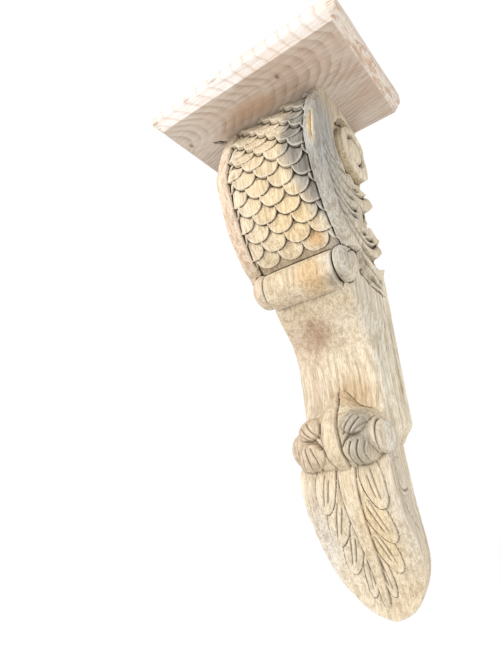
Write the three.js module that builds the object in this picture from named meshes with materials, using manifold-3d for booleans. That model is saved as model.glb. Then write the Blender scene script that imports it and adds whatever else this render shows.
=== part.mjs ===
// A carved wooden corbel bracket: a slender scrolled console under a bevelled top board.
// Millimetres, +Z up. The wall is the plane y = 0 and the bracket stands out from it towards -Y.
// Along the body, a place is given by its depth, measured out from the wall, and its drop,
// measured down from the underside of the board. The origin is on the flat back of the body.
import * as THREE from "three";
import { mergeVertices } from "three/addons/utils/BufferGeometryUtils.js";
import Module from "manifold-3d";

const wasm = await Module();
wasm.setup();

// Where the origin sits on the back, and the joint under the board
const originDrop = 250;
const jointGap = 0.3;

// Top board: bevelled underneath on the front and both ends, flat at the wall
const boardWidth = 263;
const boardDepth = 182.5;
const boardThickness = 25;
const bevelRun = 9.5;
const bevelRise = 11;
const boardEdgeRound = 3;

// Body, seen from the front
const bodyHeight = 585;
const wingHalfWidth = 68;
const wingBackInset = 4;
const wingRim = 14;
const fieldSink = 4;
const fieldCrown = 1.6;
const shaftFrontHalfWidth = 48;
const shaftBackHalfWidth = 64;
const tailHalfWidth = 53;
const tailRoundHeight = 85;
const tailLean = 10;

// A station on the body: a reach in millimetres and a drop as a share of the body's height
function onBody(stations) {
  return stations.map(([reach, share]) => [reach, share * bodyHeight]);
}

// Body, seen from the side: how far the front stands out at each drop
const wingStations = onBody([
  [107, 0], [124, 0.0564], [138, 0.1299], [138.5, 0.1641], [130, 0.2239], [116, 0.2838],
  [99, 0.3248], [85, 0.347], [76, 0.3863],
]);
const shaftStations = onBody([
  [70, 0.3624], [78, 0.4068], [66, 0.4393], [47, 0.4718], [33, 0.506], [26.5, 0.547],
  [25.5, 0.5897], [29.5, 0.6359], [38, 0.6838], [40, 0.7077],
]);
const tailStations = onBody([
  [44, 0.6974], [54, 0.7385], [57, 0.7658], [54, 0.7983], [44.5, 0.8376], [31.5, 0.8769],
  [18, 0.9248], [9, 0.9675], [5, 1],
]);
const tailLeanStart = 0.735 * bodyHeight;

// Upper roll between the scales and the hollow shaft
const rollDepth = 75.7;
const rollDrop = 0.3783 * bodyHeight;
const rollRadius = 23;
const rollHalfLength = wingHalfWidth - 25;
const rollCapLength = 23;
const rollCapGroove = 2;
const rollShift = -2;

// Fish scales between the wings
const scaleWidth = 31.6;
const scaleRowPitch = 16.8;
const scaleTipLift = 3;
const scaleHeadLift = 0.6;
const scaleShift = -4;
const scaleRollClearance = 8;
const scaleSegments = 6;

// Scroll on the side near the top, in its sunk ground
const groundSink = 6;
const voluteDepth = 25;
const voluteDrop = 46;
const voluteRadius = 40;
const voluteTopRadius = 31;
const voluteProud = 3;
const buttonRadius = 19.5;
const buttonProud = 1.5;
const carvingRoot = 4;
const grooveWidth = 2.4;
const grooveDepth = 2.2;

// Lower scroll: a leaf swells out over it from a point on the shaft down to the tail
const scrollDepth = 45;
const scrollDrop = 0.6923 * bodyHeight;
const scrollRadius = 20;
const scrollHalfLength = 45;
const leafRidgeStations = onBody([
  [26, 0.5863], [38, 0.6085], [52, 0.6325], [65, 0.6598], [69, 0.6855], [68, 0.7111], [62, 0.7333],
  [52, 0.7487],
]);
const leafHalfStations = onBody([
  [1.5, 0.5863], [12, 0.6085], [21, 0.6291], [33, 0.6444], [43, 0.6632], [45, 0.6872],
  [45, 0.7111], [43, 0.7333], [38, 0.7487],
]);
const bandHalfStations = onBody([
  [1.2, 0.5863], [4.5, 0.6051], [7.5, 0.6325], [9, 0.6632], [9.5, 0.694], [9, 0.7248],
  [7.5, 0.7487],
]);
const bandProud = 4;
const knobRadius = 18;
const knobEnd = 59;
const knobLength = 17;
const lobePlaces = [[27, 53, -16], [28, 55, 12]];
const lobeRadii = [16.5, 14, 13.5];

// Pendant leaf on the tail: a tapering midrib and four leaflets on each side
const carvingShift = 5.5;
const midribTopWidth = 20;
const midribTipWidth = 7;
const midribProud = 3.5;
const midribTopDrop = 0.7316 * bodyHeight;
const midribTipDrop = 0.9812 * bodyHeight;
const leafletProud = 2.4;
const leafletTips = onBody([[32.5, 0.8154], [31.5, 0.8701], [26.5, 0.9197], [10.5, 0.9573]]);
const leafletLengths = [46, 42, 40, 36];
const leafletWidths = [26, 25, 22, 14];
const leafletLeans = [0.12, 0.42, 0.42, 0.3];

const woodColour = 0xdecba8;
const boardColour = 0xe4d2bd;

const right = new THREE.Vector3(1, 0, 0);
const mix = THREE.MathUtils.lerp;

// Joining and cutting
function solid(geometry) {
  const bare = geometry.clone();
  bare.deleteAttribute("normal");
  bare.deleteAttribute("uv");
  const merged = mergeVertices(bare, 1e-4);
  const vertProperties = Float32Array.from(merged.attributes.position.array);
  const corners = Array.from(merged.index.array);
  const kept = corners.filter((_, index) => {
    const start = index - (index % 3);
    const [a, b, c] = corners.slice(start, start + 3);
    return a !== b && b !== c && c !== a;
  });
  const triVerts = Uint32Array.from(kept);
  return new wasm.Manifold(new wasm.Mesh({ numProp: 3, vertProperties, triVerts }));
}

function join(pieces) {
  return pieces.reduce((whole, piece) => whole.add(piece));
}

function mirrored(geometry) {
  const copy = geometry.index ? geometry.toNonIndexed() : geometry.clone();
  copy.deleteAttribute("normal");
  copy.deleteAttribute("uv");
  const positions = copy.attributes.position;
  for (let corner = 0; corner < positions.count; corner += 3) {
    const first = new THREE.Vector3().fromBufferAttribute(positions, corner);
    const second = new THREE.Vector3().fromBufferAttribute(positions, corner + 1);
    const third = new THREE.Vector3().fromBufferAttribute(positions, corner + 2);
    positions.setXYZ(corner, -first.x, first.y, first.z);
    positions.setXYZ(corner + 1, -third.x, third.y, third.z);
    positions.setXYZ(corner + 2, -second.x, second.y, second.z);
  }
  return copy;
}

function bothSides(geometry) {
  return solid(geometry).add(solid(mirrored(geometry)));
}

function carvedMesh(name, manifold, colour, roughness) {
  const result = manifold.getMesh();
  const geometry = new THREE.BufferGeometry();
  geometry.setAttribute("position", new THREE.BufferAttribute(result.vertProperties, 3));
  geometry.setIndex(new THREE.BufferAttribute(result.triVerts, 1));
  geometry.computeVertexNormals();
  const material = new THREE.MeshStandardMaterial({ color: colour, roughness, metalness: 0 });
  const mesh = new THREE.Mesh(geometry, material);
  mesh.name = name;
  return mesh;
}

// A place on the side of the body, in the plane of Y and Z
function spot(depth, drop) {
  return new THREE.Vector2(-depth, -drop);
}

function sideCurve(stations) {
  return new THREE.SplineCurve(stations.map(([depth, drop]) => spot(depth, drop)));
}

// The depth of a front curve at one drop
function depthAt(curve, drop) {
  const samples = curve.getPoints(160);
  const next = samples.findIndex((point) => -point.y >= drop);
  if (next === 0) {
    return -samples[0].x;
  }
  if (next < 0) {
    return -samples[samples.length - 1].x;
  }
  const above = samples[next - 1];
  const below = samples[next];
  const share = (drop + above.y) / (above.y - below.y);
  return mix(-above.x, -below.x, share);
}

// A closed skin through level rings of equal count, given from the top down
function loft(rings) {
  const count = rings[0].length;
  const positions = [];
  const addTriangle = (a, b, c) => positions.push(...a.toArray(), ...b.toArray(), ...c.toArray());
  for (let level = 0; level + 1 < rings.length; level += 1) {
    for (let index = 0; index < count; index += 1) {
      const after = (index + 1) % count;
      const upper = rings[level];
      const lower = rings[level + 1];
      addTriangle(upper[index], lower[after], upper[after]);
      addTriangle(upper[index], lower[index], lower[after]);
    }
  }
  const last = rings[rings.length - 1];
  for (const [a, b, c] of faces(rings[0])) {
    addTriangle(rings[0][a], rings[0][b], rings[0][c]);
  }
  for (const [a, b, c] of faces(last)) {
    addTriangle(last[a], last[c], last[b]);
  }
  const geometry = new THREE.BufferGeometry();
  geometry.setAttribute("position", new THREE.Float32BufferAttribute(positions, 3));
  return geometry;
}

// The triangles of a level ring, each counter-clockwise from above
function faces(ring) {
  const flat = ring.map((point) => new THREE.Vector2(point.x, point.y));
  return THREE.ShapeUtils.triangulateShape(flat, []).map(([a, b, c]) => {
    const area = THREE.ShapeUtils.area([flat[a], flat[b], flat[c]]);
    return area > 0 ? [a, b, c] : [a, c, b];
  });
}

// A level ring, counter-clockwise from above, from the points of its right half
function ring(drop, halfPoints, shift = 0) {
  const outside = halfPoints.filter(([x]) => x > 0);
  const leftHalf = outside.map(([x, depth]) => [-x, depth]).reverse();
  return [...halfPoints, ...leftHalf].map(([x, depth]) => new THREE.Vector3(x + shift, -depth, -drop));
}

function levels(first, last, step) {
  const count = Math.max(2, Math.round((last - first) / step));
  return Array.from({ length: count + 1 }, (_, index) => mix(first, last, index / count));
}

// An outline in the plane of Y and Z, run across the body from one x to another
function across(outline, from, to) {
  const geometry = new THREE.ExtrudeGeometry(outline, { depth: to - from, bevelEnabled: false });
  const basis = new THREE.Matrix4().makeBasis(
    new THREE.Vector3(0, 1, 0),
    new THREE.Vector3(0, 0, 1),
    new THREE.Vector3(1, 0, 0),
  );
  geometry.applyMatrix4(basis.setPosition(from, 0, 0));
  return geometry;
}

function outlineOf(stations, divisions) {
  const curve = new THREE.SplineCurve(stations.map(([depth, drop]) => spot(depth, drop)));
  return curve.getPoints(divisions);
}

// A V-shaped cut along a line on the side of the body
function sideGroove(stations, surface, steps) {
  const points = stations.map(([depth, drop]) => new THREE.Vector3(surface, -depth, -drop));
  const section = new THREE.Shape([
    new THREE.Vector2(grooveDepth, 0),
    new THREE.Vector2(-1, grooveWidth),
    new THREE.Vector2(-1, -grooveWidth),
  ]);
  const path = new THREE.CatmullRomCurve3(points);
  return new THREE.ExtrudeGeometry(section, { extrudePath: path, steps });
}

// The frame of a front curve at one share of its length: its place, its way up and its way out
function frontFrame(curve, share) {
  const place = curve.getPointAt(THREE.MathUtils.clamp(share, 0, 1));
  const down = curve.getTangentAt(THREE.MathUtils.clamp(share, 0, 1));
  return {
    place: new THREE.Vector3(0, place.x, place.y),
    up: new THREE.Vector3(0, -down.x, -down.y),
    out: new THREE.Vector3(0, down.y, -down.x),
  };
}

// A flat plate laid on a front curve, its outline drawn as seen from the front
function plate(outline, frame, x, sink, proud, tilt) {
  const geometry = new THREE.ExtrudeGeometry(outline, { depth: sink + proud, bevelEnabled: false });
  geometry.translate(0, 0, -sink);
  geometry.rotateX(tilt);
  const basis = new THREE.Matrix4().makeBasis(right, frame.up, frame.out);
  geometry.applyMatrix4(basis.setPosition(x, frame.place.y, frame.place.z));
  return geometry;
}

// Top board
function boardGeometry() {
  const inner = 1 - Math.SQRT1_2;
  const profile = [
    [bevelRun, 0],
    [0, bevelRise],
    [0, boardThickness - boardEdgeRound],
    [boardEdgeRound * inner, boardThickness - boardEdgeRound * inner],
    [boardEdgeRound, boardThickness],
  ];
  const rings = profile.map(([inset, height]) => {
    const half = boardWidth / 2 - inset;
    const front = -boardDepth + inset;
    return [[-half, front], [half, front], [half, 0], [-half, 0]].map(
      ([x, y]) => new THREE.Vector3(x, y, height + jointGap),
    );
  });
  return loft(rings.reverse());
}

// Upper body: two raised wings with a sunk, crowned field between them
const wingCurve = sideCurve(wingStations);
const shaftCurve = sideCurve(shaftStations);
const tailCurve = sideCurve(tailStations);

function upperGeometry() {
  const fieldHalf = wingHalfWidth - wingRim;
  const lastDrop = wingStations[wingStations.length - 1][1];
  return loft(levels(0, lastDrop, 14).map((drop) => {
    const depth = depthAt(wingCurve, drop);
    const field = depth - fieldSink;
    return ring(drop, [
      [0, field + fieldCrown],
      [fieldHalf * 0.6, field + fieldCrown * 0.6],
      [fieldHalf, field],
      [fieldHalf + 0.6, depth - 0.6],
      [wingHalfWidth - 7, depth],
      [wingHalfWidth - 2, depth - 3],
      [wingHalfWidth, depth - 9],
      [wingHalfWidth, depth * 0.6],
      [wingHalfWidth - wingBackInset, 0],
    ]);
  }));
}

// Middle: a hollow shaft whose sides open towards the wall, with a line down each side
function shaftGeometry() {
  const [, firstDrop] = shaftStations[0];
  const lastDrop = shaftStations[shaftStations.length - 1][1];
  const narrowDrop = 388;
  return loft(levels(firstDrop, lastDrop, 11).map((drop) => {
    const depth = depthAt(shaftCurve, drop);
    const lineShare = mix(0.54, 0.75, (drop - firstDrop) / (lastDrop - firstDrop));
    const line = depth * lineShare;
    const narrowing = THREE.MathUtils.smoothstep(drop, narrowDrop, lastDrop);
    const back = mix(shaftBackHalfWidth, tailHalfWidth - 2, narrowing);
    const lineHalf = mix(shaftFrontHalfWidth, back, 0.72);
    return ring(drop, [
      [0, depth + 0.8],
      [shaftFrontHalfWidth - 1.5, depth],
      [shaftFrontHalfWidth, depth - 1.5],
      [lineHalf - 1.5, line + 2],
      [lineHalf - 1.2, line],
      [lineHalf + 1.2, line - 1.6],
      [back - 0.6, line * 0.45],
      [back, 0],
    ]);
  }));
}

// Tail: a rounded hanging leaf that runs down to the wall
function tailWidthAt(drop) {
  const roundTop = bodyHeight - tailRoundHeight;
  const share = Math.max(0, drop - roundTop) / tailRoundHeight;
  return Math.max(4, tailHalfWidth * Math.max(0, 1 - share ** 3) ** 0.87);
}

function leanAt(drop) {
  const share = Math.max(0, drop - tailLeanStart) / (bodyHeight - tailLeanStart);
  return tailLean * share ** 1.3;
}

function tailGeometry() {
  const [, firstDrop] = tailStations[0];
  const roundTop = bodyHeight - tailRoundHeight;
  const straight = levels(firstDrop, roundTop, 9);
  const rounded = levels(0, Math.PI / 2, Math.PI / 20).slice(1);
  const drops = [...straight, ...rounded.map((angle) => roundTop + tailRoundHeight * Math.sin(angle))];
  return loft(drops.map((drop) => {
    const depth = depthAt(tailCurve, drop);
    const half = tailWidthAt(drop);
    const edge = Math.min(5, depth * 0.4, half * 0.4);
    return ring(drop, [
      [0, depth + 1],
      [half * 0.5, depth + 0.6],
      [half - edge, depth - 0.5],
      [half, depth - edge],
      [half, depth * 0.3],
      [half - 1, 0],
    ], leanAt(drop));
  }));
}

// Fish scales in staggered rows, each tilted so that its tip stands over the row below
function scaleOutline() {
  const half = scaleWidth / 2;
  const outline = new THREE.Shape();
  outline.moveTo(half, scaleRowPitch * 1.2);
  outline.lineTo(-half, scaleRowPitch * 1.2);
  for (let index = 0; index <= scaleSegments; index += 1) {
    const angle = Math.PI * (index / scaleSegments);
    outline.lineTo(-half * Math.cos(angle), scaleRowPitch * (1 - Math.sin(angle)));
  }
  return outline;
}

function scales() {
  const field = sideCurve(wingStations.map(([depth, drop]) => [depth - fieldSink, drop]));
  const length = field.getLength();
  const rollStart = length - rollRadius - scaleRollClearance;
  const outline = scaleOutline();
  const tilt = Math.atan((scaleTipLift - scaleHeadLift) / scaleRowPitch);
  const pieces = [];
  const rows = Math.ceil(rollStart / scaleRowPitch);
  const fieldHalf = wingHalfWidth - wingRim;
  for (let row = 0; row < rows; row += 1) {
    const tip = rollStart - row * scaleRowPitch;
    const frame = frontFrame(field, (tip - scaleRowPitch / 2) / length);
    frame.place.addScaledVector(frame.up, -scaleRowPitch / 2);
    const stagger = (row % 2) * scaleWidth / 2;
    for (let column = -2; column <= 2; column += 1) {
      const x = scaleShift + stagger + column * scaleWidth;
      if (Math.abs(x) < fieldHalf + scaleWidth * 0.3) {
        const crown = fieldCrown * (1 - (x / fieldHalf) ** 2);
        const lifted = { ...frame, place: frame.place.clone().addScaledVector(frame.out, crown) };
        pieces.push(solid(plate(outline, lifted, x, fieldSink, scaleTipLift, -tilt)));
      }
    }
  }
  const reach = boardWidth;
  const low = new THREE.Vector3(-fieldHalf - 1, -reach, -bodyHeight);
  const between = slabBox(low, new THREE.Vector3(fieldHalf + 1, 0, reach));
  return join(pieces).intersect(solid(between));
}

// Upper roll, turned about its own length, with a rounded cap at each end
function rollGeometry() {
  const end = rollHalfLength + rollCapLength;
  const swell = rollCapLength * 0.7;
  const half = [[0, end]];
  for (let index = 4; index >= 0; index -= 1) {
    const angle = (Math.PI / 2) * (index / 4);
    const radius = rollRadius * (0.25 + 0.75 * Math.cos(angle) ** 0.8) - 0.5;
    half.push([radius, end - swell + swell * Math.sin(angle)]);
  }
  half.push([rollRadius - rollCapGroove, rollHalfLength]);
  half.push([rollRadius, rollHalfLength - rollCapGroove]);
  const mirroredHalf = half.map(([radius, place]) => [radius, -place]).reverse();
  const profile = [...half, ...mirroredHalf].reverse();
  const points = profile.map(([radius, place]) => new THREE.Vector2(radius, place));
  const turned = new THREE.LatheGeometry(points, 24);
  turned.rotateZ(-Math.PI / 2);
  turned.translate(rollShift, -rollDepth, -rollDrop);
  return turned;
}

// The valley where the field of scales runs into the roll
function rollBed() {
  const corners = [[-0.7, -1.52], [0.87, -1.43], [0.65, -0.65], [0.17, -0.13], [-0.7, 0]];
  const outline = new THREE.Shape(corners.map(([out, down]) => {
    return spot(rollDepth + out * rollRadius, rollDrop + down * rollRadius);
  }));
  const half = wingHalfWidth - wingRim;
  return across(outline, -half, half);
}

// Side scroll: a band that winds inwards round a button, in a sunk ground
const groundHalfWidth = wingHalfWidth - groundSink;

function voluteRadiusAt(angle) {
  const rise = Math.max(0, Math.sin(angle));
  return mix(voluteRadius, voluteTopRadius, rise);
}

function ringPoints(radiusAt, segments) {
  return Array.from({ length: segments }, (_, index) => {
    const angle = (2 * Math.PI * index) / segments;
    const radius = radiusAt(angle);
    return spot(voluteDepth - radius * Math.cos(angle), voluteDrop - radius * Math.sin(angle));
  });
}

function voluteBand() {
  const outline = new THREE.Shape(ringPoints(voluteRadiusAt, 32));
  outline.holes.push(new THREE.Path(ringPoints(() => buttonRadius + 1.6, 20)));
  return across(outline, groundHalfWidth - carvingRoot, wingHalfWidth + voluteProud);
}

function voluteButton() {
  const outline = new THREE.Shape(ringPoints(() => buttonRadius, 20));
  return across(outline, groundHalfWidth - carvingRoot, wingHalfWidth + buttonProud);
}

function sideGround() {
  const outline = new THREE.Shape(outlineOf([
    [-8, 8], [25, 7], [49, 11], [68, 24], [82, 40], [89, 62], [93, 84], [108, 104],
    [112, 130], [105, 152], [88, 178], [64, 204], [40, 226], [10, 248], [-8, 252],
  ], 30));
  return across(outline, groundHalfWidth, wingHalfWidth + 12);
}

// Fronds: long blades that sweep from the wing down and back to a curled lobe at the wall
const frondOutlines = [
  [[112, 70], [106, 88], [92, 102], [70, 105], [52, 101], [30, 106], [8, 100], [-6, 100], [-6, 118],
    [12, 127], [30, 136], [47, 134], [62, 139], [86, 145], [106, 138], [122, 118]],
  [[122, 112], [108, 128], [88, 138], [68, 142], [54, 146], [48, 158], [30, 164], [8, 160], [-6, 160],
    [-6, 184], [16, 196], [32, 200], [50, 198], [68, 191], [84, 178], [104, 160], [118, 136]],
  [[96, 168], [78, 182], [62, 198], [40, 204], [16, 208], [-6, 212], [-6, 240], [12, 243], [33, 234],
    [49, 218], [64, 206], [84, 192]],
];
const frondLines = [
  [[117, 86], [108, 101], [93, 113], [75, 119], [53, 121], [30, 118], [13, 110], [2, 102]],
  [[119, 104], [108, 119], [94, 128], [76, 132], [57, 131]],
  [[117, 124], [102, 140], [85, 148], [66, 151], [54, 148]],
  [[112, 142], [97, 158], [78, 170], [60, 180], [43, 186], [22, 183], [4, 169]],
  [[66, 202], [48, 212], [30, 222], [10, 230]],
];

function fronds() {
  const blades = frondOutlines.map((stations) => {
    const outline = new THREE.Shape(outlineOf(stations, 26));
    return bothSides(across(outline, groundHalfWidth - carvingRoot, wingHalfWidth));
  });
  return join(blades);
}

function frondGrooves() {
  return join(frondLines.map((stations) => bothSides(sideGroove(stations, wingHalfWidth, 9))));
}

// Lower scroll and its end knobs, under the swelling leaf, the leaf's band and its side lobes
function scrollGeometry() {
  const geometry = new THREE.CylinderGeometry(scrollRadius, scrollRadius, 2 * scrollHalfLength, 24);
  geometry.rotateZ(Math.PI / 2);
  geometry.translate(0, -scrollDepth, -scrollDrop);
  return geometry;
}

function knobGeometry() {
  const start = knobEnd - knobLength;
  const points = [[0, start], [knobRadius * 0.92, start], [knobRadius, start + knobLength * 0.25]];
  for (let index = 1; index <= 4; index += 1) {
    const angle = (Math.PI / 2) * (index / 4);
    const radius = knobRadius * (0.45 + 0.55 * Math.cos(angle));
    points.push([radius, knobEnd - knobLength * 0.5 * (1 - Math.sin(angle))]);
  }
  points.push([0, knobEnd]);
  const turned = new THREE.LatheGeometry(points.map(([radius, x]) => new THREE.Vector2(radius, x)), 20);
  turned.rotateZ(-Math.PI / 2);
  turned.translate(0, -scrollDepth, -scrollDrop - 2);
  return turned;
}

// A form that swells out of the shaft, as wide and as deep at each drop as its two curves say
function swelling(ridgeStations, halfStations, proud, fullness) {
  const ridgeCurve = sideCurve(ridgeStations);
  const halfCurve = sideCurve(halfStations);
  const root = 12;
  const first = ridgeStations[0][1];
  const last = ridgeStations[ridgeStations.length - 1][1];
  return loft(levels(first, last, 10).map((drop) => {
    const ridge = depthAt(ridgeCurve, drop) + proud;
    const half = depthAt(halfCurve, drop);
    const points = Array.from({ length: 6 }, (_, index) => {
      const angle = (Math.PI / 2) * (index / 5);
      return [half * Math.sin(angle), mix(root, ridge, Math.cos(angle) ** fullness)];
    });
    return ring(drop, points);
  }));
}

function lobeGeometry([x, depth, down], lean) {
  const geometry = new THREE.SphereGeometry(1, 10, 7);
  geometry.scale(...lobeRadii);
  geometry.rotateY(lean);
  geometry.translate(x, -depth, -scrollDrop - down);
  return geometry;
}

function lowerScroll() {
  const [upperLobe, lowerLobe] = lobePlaces;
  return join([
    solid(scrollGeometry()),
    bothSides(knobGeometry()),
    solid(swelling(leafRidgeStations, leafHalfStations, 0, 0.6)),
    solid(swelling(leafRidgeStations, bandHalfStations, bandProud, 0.35)),
    bothSides(lobeGeometry(upperLobe, -0.35)),
    bothSides(lobeGeometry(lowerLobe, 0.12)),
  ]);
}

// Tail ornament: the midrib and the leaflets, laid on the front curve of the tail
function shareAtDrop(curve, drop) {
  const samples = curve.getSpacedPoints(200);
  const index = samples.findIndex((point) => -point.y >= drop);
  return index < 0 ? 1 : index / 200;
}

function midrib() {
  const pieces = [];
  const spans = levels(midribTopDrop, midribTipDrop, 16);
  for (let index = 0; index + 1 < spans.length; index += 1) {
    const widths = [spans[index] - 1, spans[index + 1] + 1].map((drop) => {
      return mix(midribTopWidth, midribTipWidth, (drop - midribTopDrop) / (midribTipDrop - midribTopDrop));
    });
    const middle = (spans[index] + spans[index + 1]) / 2;
    const frame = frontFrame(tailCurve, shareAtDrop(tailCurve, middle));
    const reach = (spans[index + 1] - spans[index]) / 2 / Math.abs(frame.up.z) + 1;
    const outline = new THREE.Shape([
      new THREE.Vector2(-widths[0] / 2, reach),
      new THREE.Vector2(-widths[1] / 2, -reach),
      new THREE.Vector2(widths[1] / 2, -reach),
      new THREE.Vector2(widths[0] / 2, reach),
    ]);
    pieces.push(solid(plate(outline, frame, carvingShift, 4, midribProud, 0)));
  }
  return join(pieces);
}

function leafletOutline(length, width, lean) {
  const outline = new THREE.Shape();
  const half = width / 2;
  outline.moveTo(0, 0);
  outline.bezierCurveTo(half * 0.8, length * 0.12, half, length * 0.35, half * 0.8, length * 0.6);
  outline.lineTo(half * 0.3, length);
  outline.lineTo(-half * 0.5, length);
  outline.bezierCurveTo(-half * 1.1, length * 0.6, -half * 0.9, length * 0.2, 0, 0);
  const turned = outline.getPoints(5).map((point) => point.clone().rotateAround(new THREE.Vector2(), lean));
  return new THREE.Shape(turned);
}

function leaflets() {
  const pieces = leafletTips.map(([x, drop], index) => {
    const share = shareAtDrop(tailCurve, drop - leafletLengths[index] * 0.4);
    const frame = frontFrame(tailCurve, share);
    const tip = frontFrame(tailCurve, shareAtDrop(tailCurve, drop));
    const placed = { ...frame, place: tip.place };
    const outline = leafletOutline(leafletLengths[index], leafletWidths[index], leafletLeans[index]);
    return bothSides(plate(outline, placed, x, 5, leafletProud, 0.03)).translate([carvingShift, 0, 0]);
  });
  return join(pieces);
}

function slabBox(low, high) {
  const size = new THREE.Vector3().subVectors(high, low);
  const geometry = new THREE.BoxGeometry(size.x, size.y, size.z);
  const centre = new THREE.Vector3().addVectors(high, low).multiplyScalar(0.5);
  geometry.translate(centre.x, centre.y, centre.z);
  return geometry;
}

function carvedBody() {
  const reach = boardWidth;
  const body = join([
    solid(upperGeometry()).subtract(bothSides(sideGround())),
    scales(),
    solid(shaftGeometry()),
    solid(tailGeometry()),
    solid(rollGeometry()),
    solid(rollBed()),
    fronds(),
    bothSides(voluteBand()),
    bothSides(voluteButton()),
    lowerScroll(),
    midrib(),
    leaflets(),
  ]);
  const wall = slabBox(new THREE.Vector3(-reach, 0, -2 * bodyHeight), new THREE.Vector3(reach, reach, reach));
  const above = slabBox(new THREE.Vector3(-reach, -reach, 0), new THREE.Vector3(reach, reach, reach));
  return body.subtract(frondGrooves()).subtract(solid(wall)).subtract(solid(above));
}

const corbel = new THREE.Group();
corbel.add(carvedMesh("top_board", solid(boardGeometry()), boardColour, 0.8));
corbel.add(carvedMesh("carved_corbel", carvedBody(), woodColour, 0.75));
corbel.position.z = originDrop;

export default corbel;
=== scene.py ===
import math

import bpy
import numpy as np
from mathutils import Matrix, Vector


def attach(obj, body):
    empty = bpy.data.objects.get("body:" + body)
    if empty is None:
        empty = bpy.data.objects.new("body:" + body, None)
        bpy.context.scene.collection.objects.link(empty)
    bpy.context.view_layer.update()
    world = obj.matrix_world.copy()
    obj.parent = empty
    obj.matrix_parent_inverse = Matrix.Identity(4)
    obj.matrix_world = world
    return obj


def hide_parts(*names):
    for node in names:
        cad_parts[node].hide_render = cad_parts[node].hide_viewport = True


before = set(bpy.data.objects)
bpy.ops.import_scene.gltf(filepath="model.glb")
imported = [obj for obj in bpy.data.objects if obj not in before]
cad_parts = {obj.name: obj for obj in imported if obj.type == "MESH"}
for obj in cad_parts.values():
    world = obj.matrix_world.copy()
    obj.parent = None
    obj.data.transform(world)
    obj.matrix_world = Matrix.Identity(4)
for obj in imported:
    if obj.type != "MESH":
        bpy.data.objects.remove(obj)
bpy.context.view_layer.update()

ORIGIN_DROP = 250.0
JOINT_GAP = 0.3
GRID_STEP = 0.8
SEED = 11
BODY_TRIANGLES = 190000
BOARD_TRIANGLES = 60000

# How wide a hollow each of the two attributes looks for; the wood paints shade, dirt and a highlight on the
# edges from them
HOLLOW_WIDTHS = (("hollow", 1.6), ("shade", 6.0))

# Top board, with the bevel under its rim and the short slanted crack beside the body
BOARD_WIDTH = 263.0
BOARD_DEPTH = 182.5
BOARD_THICKNESS = 25.0
BEVEL_RUN = 9.5
BEVEL_RISE = 11.0
CRACK = (-79.0, 107.0)
CRACK_HALF_LENGTH = 11.0
CRACK_HALF_WIDTH = 3.4
CRACK_HEIGHT = 8.0

# Body, with its widths measured each side of the middle
BODY_HEIGHT = 585.0
WING_HALF = 68.0
WING_BACK_HALF = 64.0
WING_CREST = 60.5
WING_CREST_HALF = 7.5
WING_END = 205.0
WING_EDGE_ROUND = 9.0
FROND_PROUD = 3.5
FROND_TOP = 98.0
FROND_END = 216.0
FIELD_HALF = 54.0
FIELD_SINK = 5.5
FIELD_CROWN = 1.6
FIELD_END = 226.0
SHAFT_FRONT_HALF = 48.0
SHAFT_BACK_HALF = 64.0
SHAFT_EDGE_ROUND = 4.0
SHAFT_END = 412.0
TAIL_TOP = 424.0
TAIL_HALF = 53.0
TAIL_ROUND = 85.0
TAIL_EDGE_ROUND = 2.2
TAIL_LEAN = 10.0
TAIL_LEAN_START = 430.0

# The front of the body: depth and drop from the board down to the tip
FRONT = [
    (107, 0), (124, 33), (138, 76), (138.5, 96), (130, 131), (116, 166), (99, 190), (85, 203),
    (76, 226), (72, 246), (60, 263), (47, 276), (33, 296), (26.5, 320), (25.5, 345), (29.5, 372),
    (38, 400), (46, 420), (54, 432), (57, 448), (54, 467), (44.5, 490), (31.5, 513), (18, 541),
    (9, 566), (5, 585),
]

# The soft line down the shaft's side: drop, and share of the way from the wall to the front
SHAFT_LINE = [(215, 0.56), (410, 0.75)]

# The lower end of the carved sides: depth and drop
SIDE_END = [(0, 240), (10, 242.4), (33, 233.7), (49, 217.5), (64.7, 204), (70, 205), (140, 205)]

# Parts of the grid that hold the two rolls, each as low and high x, depth and drop
ROLL_BOX = ((-73, 40, 190), (73, 110, 260))
SCROLL_BOX = ((-64, 16, 334), (64, 82, 444))

# Upper roll: the depth and drop of its axis, its size, and its end caps with a hook cut in each
ROLL = (75.7, 221.3)
ROLL_RADIUS = 23.0
ROLL_HALF = 45.5
ROLL_SHIFT = -2.0
CAP_CROWN = 52.0
CAP_END = 66.5
CAP_RADIUS = 21.5
CAP_RISE = 3.0
CAP_HOOK = [(11, -9), (3, -14), (-6, -12), (-12, -5), (-11, 3)]

# Fish scales: rows counted upwards, each higher row tilted and moved a little more towards +x
SCALE_ROWS = 14
SCALE_COLUMNS = 9
SCALE_START = 32.0
SCALE_WIDTH = 32.0
SCALE_PITCH = 16.55
SCALE_LIFT = 5.8
SCALE_SHIFT = -1.5
SCALE_DRIFT = 0.45
FIRST_TILT = 0.4
SCALE_TILT = 0.24

# The raw gouge in the edge of the right wing: its x, and the drops between which it runs
GOUGE_X = 62.5
GOUGE_TOP = 42.0
GOUGE_END = 102.0

# Side volute: the depth and drop of its centre, its size, and the hook at its inner end
VOLUTE = (25.0, 46.0)
VOLUTE_RADIUS = 40.0
VOLUTE_TOP_RADIUS = 31.0
VOLUTE_HALF = 71.0
BUTTON_RADIUS = 19.5
BUTTON_HALF = 69.6
VOLUTE_HOOK = [(38, 33), (34, 29), (27, 27.5), (21, 29)]

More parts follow.
